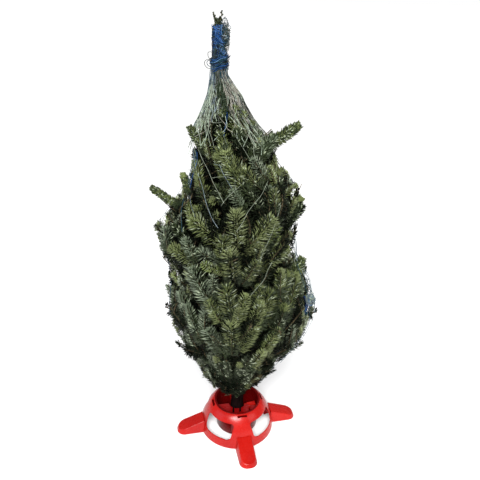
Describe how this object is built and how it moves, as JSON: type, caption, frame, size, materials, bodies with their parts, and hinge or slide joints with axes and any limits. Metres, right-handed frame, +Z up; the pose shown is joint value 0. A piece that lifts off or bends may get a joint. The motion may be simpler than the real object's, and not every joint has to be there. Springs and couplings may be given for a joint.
{
  "type": "christmas tree",
  "caption": "Small cut fir drawn together by netting, with upswept boughs of needle sprays and a bound top, standing in a round moulded plastic stand with broad low legs and a water bowl.",
  "frame": {"origin": "middle of the flat underside of the stand's water bowl, on the floor the tree stands on", "axes": "+Z up along the trunk, -Y towards the front of the tree, +X to the right of somebody who faces the front"},
  "size_m": [0.5217, 0.4946, 1.4],
  "materials": {
    "stand_plastic": "glossy red moulded plastic with faint scuffs",
    "bark": "rough grey-brown bark",
    "needles": "waxy dark green needles, paler underneath",
    "net": "thin knitted blue plastic net"
  },
  "bodies": {
    "root": {"bough_shoulder_1": "bark", "bough_shoulder_2": "bark", "bough_shoulder_3": "bark", "bough_shoulder_4": "bark", "bough_shoulder_5": "bark", "bough_skirt_1": "bark", "bough_skirt_2": "bark", "bough_skirt_3": "bark", "bough_skirt_4": "bark", "bough_skirt_5": "bark", "bough_skirt_6": "bark", "bough_skirt_7": "bark", "bough_top_1": "bark", "bough_top_2": "bark", "bough_top_3": "bark", "bough_top_4": "bark", "bough_waist_1": "bark", "bough_waist_2": "bark", "bough_waist_3": "bark", "bough_waist_4": "bark", "bough_waist_5": "bark", "bough_waist_6": "bark", "needles_shoulder_1": "needles", "needles_shoulder_2": "needles", "needles_shoulder_3": "needles", "needles_shoulder_4": "needles", "needles_shoulder_5": "needles", "needles_skirt_1": "needles", "needles_skirt_2": "needles", "needles_skirt_3": "needles", "needles_skirt_4": "needles", "needles_skirt_5": "needles", "needles_skirt_6": "needles", "needles_skirt_7": "needles", "needles_top_1": "needles", "needles_top_2": "needles", "needles_top_3": "needles", "needles_top_4": "needles", "needles_tuft": "needles", "needles_waist_1": "needles", "needles_waist_2": "needles", "needles_waist_3": "needles", "needles_waist_4": "needles", "needles_waist_5": "needles", "needles_waist_6": "needles", "net_bunch": "net", "stand_bell": "stand_plastic", "stand_bowl": "stand_plastic", "stand_leg_1": "stand_plastic", "stand_leg_2": "stand_plastic", "stand_leg_3": "stand_plastic", "stand_leg_4": "stand_plastic", "trunk": "bark", "trunk_clamp_1": "stand_plastic", "trunk_clamp_2": "stand_plastic", "trunk_clamp_3": "stand_plastic", "trunk_clamp_4": "stand_plastic"}
  },
  "joints": []
}
